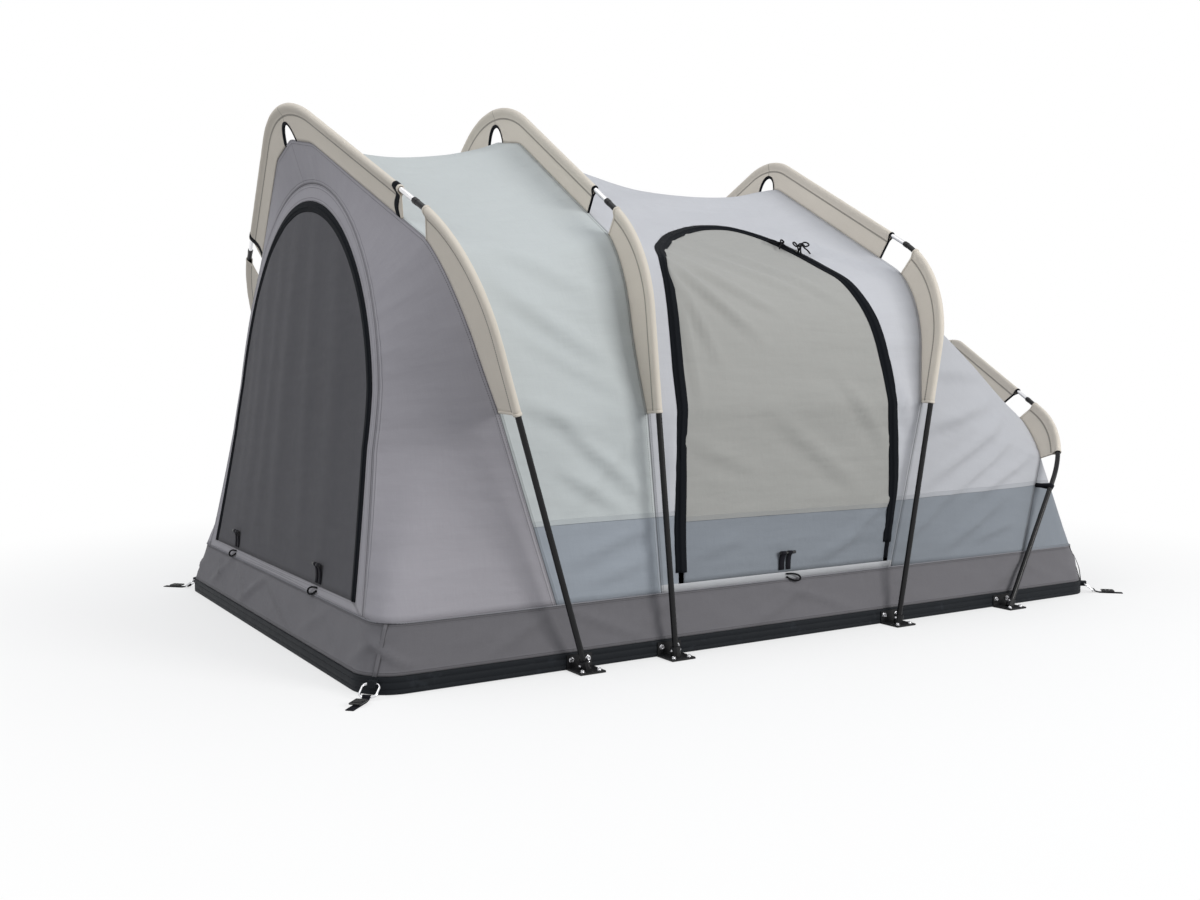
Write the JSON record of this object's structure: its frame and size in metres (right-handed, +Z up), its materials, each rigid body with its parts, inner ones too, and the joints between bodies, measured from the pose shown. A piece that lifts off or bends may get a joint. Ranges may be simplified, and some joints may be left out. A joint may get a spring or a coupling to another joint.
{
  "type": "roof top tent",
  "caption": "Soft roof top tent on a flat base: sewn cloth body and tub hung from outside pole hoops in cloth sleeves, with a zipped side door and an arched rear window.",
  "frame": {"origin": "centre of the base panel's underside", "axes": "+X along the floor from the high rear end to the low front end, door side towards -Y, +Z up"},
  "size_m": [2.4048, 1.5578, 1.2984],
  "materials": {
    "base_panel": "matte",
    "tub_cloth": "matte",
    "end_cloth": "matte",
    "body_cloth": "matte",
    "window_cloth": "matte",
    "zip_tape": "matte",
    "door_cloth": "matte",
    "bright_pole": "polished",
    "dark_pole": "satin",
    "sleeve_cloth": "matte",
    "bracket_metal": "satin",
    "ring_wire": "polished",
    "strap_webbing": "matte",
    "pull_cord": "matte",
    "toggle_plastic": "satin"
  },
  "bodies": {
    "tent": {"floor_panel": "base_panel", "tub": "tub_cloth", "rear_wall": "end_cloth", "rear_gusset": "end_cloth", "bay_rear": "body_cloth", "bay_middle": "body_cloth", "bay_front": "body_cloth", "front_wall": "body_cloth", "bow_pole_1": "bright_pole", "bow_pole_2": "bright_pole", "bow_pole_3": "bright_pole", "bow_pole_4": "bright_pole", "side_pole_1_door": "dark_pole", "side_pole_1_far": "dark_pole", "side_pole_2_door": "dark_pole", "side_pole_2_far": "dark_pole", "side_pole_3_door": "dark_pole", "side_pole_3_far": "dark_pole", "side_pole_4_door": "dark_pole", "side_pole_4_far": "dark_pole", "top_sleeve_1": "sleeve_cloth", "top_sleeve_2": "sleeve_cloth", "top_sleeve_3": "sleeve_cloth", "top_sleeve_4": "sleeve_cloth", "side_sleeve_1_door": "sleeve_cloth", "side_sleeve_1_far": "sleeve_cloth", "side_sleeve_2_door": "sleeve_cloth", "side_sleeve_2_far": "sleeve_cloth", "side_sleeve_3_door": "sleeve_cloth", "side_sleeve_3_far": "sleeve_cloth", "side_sleeve_4_door": "sleeve_cloth", "side_sleeve_4_far": "sleeve_cloth", "foot_bracket_1_door": "bracket_metal", "foot_bracket_1_far": "bracket_metal", "foot_bracket_2_door": "bracket_metal", "foot_bracket_2_far": "bracket_metal", "foot_bracket_3_door": "bracket_metal", "foot_bracket_3_far": "bracket_metal", "foot_bracket_4_door": "bracket_metal", "foot_bracket_4_far": "bracket_metal"},
    "door": {"door_panel": "door_cloth", "door_zip": "zip_tape"},
    "window": {"window_panel": "window_cloth", "window_zip": "zip_tape"},
    "zip_pull_1": {"door_zip_pull_1": "pull_cord"},
    "zip_pull_2": {"door_zip_pull_2": "pull_cord"},
    "door_toggle": {"door_toggle": "toggle_plastic"},
    "window_toggle_near": {"window_toggle_near": "toggle_plastic"},
    "window_toggle_far": {"window_toggle_far": "toggle_plastic"},
    "corner_tie_1": {"corner_ring_1": "ring_wire", "tie_strap_1": "strap_webbing"},
    "corner_tie_2": {"corner_ring_2": "ring_wire", "tie_strap_2": "strap_webbing"},
    "corner_tie_3": {"corner_ring_3": "ring_wire", "tie_strap_3": "strap_webbing"},
    "corner_tie_4": {"corner_ring_4": "ring_wire", "tie_strap_4": "strap_webbing"}
  },
  "joints": [
    {"name": "door_fold", "type": "hinge", "parent": "tent", "child": "door", "pos_m": [0, -0.69341, 0.1504], "axis": [1, 0, 0], "range_deg": [0, 90]},
    {"name": "window_fold", "type": "hinge", "parent": "tent", "child": "window", "pos_m": [-1.02882, 0, 0.1554], "axis": [0, -1, 0], "range_deg": [0, 90]},
    {"name": "zip_pull_1_swing", "type": "hinge", "parent": "door", "child": "zip_pull_1", "pos_m": [0.21894, -0.35116, 0.95072], "axis": [-0.9856, 0.1691, 0], "range_deg": [0, 60]},
    {"name": "zip_pull_2_swing", "type": "hinge", "parent": "door", "child": "zip_pull_2", "pos_m": [0.23588, -0.40459, 0.92571], "axis": [-0.9461, 0.324, 0], "range_deg": [0, 60]},
    {"name": "door_toggle_flip", "type": "hinge", "parent": "door", "child": "door_toggle", "pos_m": [-0.03302, -0.69219, 0.15643], "axis": [0.9997, -0.0251, 0], "range_deg": [0, 60]},
    {"name": "window_toggle_near_flip", "type": "hinge", "parent": "window", "child": "window_toggle_near", "pos_m": [-1.02816, -0.325, 0.16146], "axis": [0, -1, 0], "range_deg": [0, 60]},
    {"name": "window_toggle_far_flip", "type": "hinge", "parent": "window", "child": "window_toggle_far", "pos_m": [-1.02816, 0.325, 0.16146], "axis": [0, -1, 0], "range_deg": [0, 60]},
    {"name": "corner_tie_1_swing", "type": "hinge", "parent": "tent", "child": "corner_tie_1", "pos_m": [-1.04864, -0.69364, 0.024], "axis": [-0.7071, 0.7071, 0], "range_deg": [0, 60]},
    {"name": "corner_tie_2_swing", "type": "hinge", "parent": "tent", "child": "corner_tie_2", "pos_m": [-1.04864, 0.69364, 0.024], "axis": [0.7071, 0.7071, 0], "range_deg": [0, 60]},
    {"name": "corner_tie_3_swing", "type": "hinge", "parent": "tent", "child": "corner_tie_3", "pos_m": [1.04864, -0.69364, 0.024], "axis": [-0.7071, -0.7071, 0], "range_deg": [0, 60]},
    {"name": "corner_tie_4_swing", "type": "hinge", "parent": "tent", "child": "corner_tie_4", "pos_m": [1.04864, 0.69364, 0.024], "axis": [0.7071, -0.7071, 0], "range_deg": [0, 60]}
  ]
}
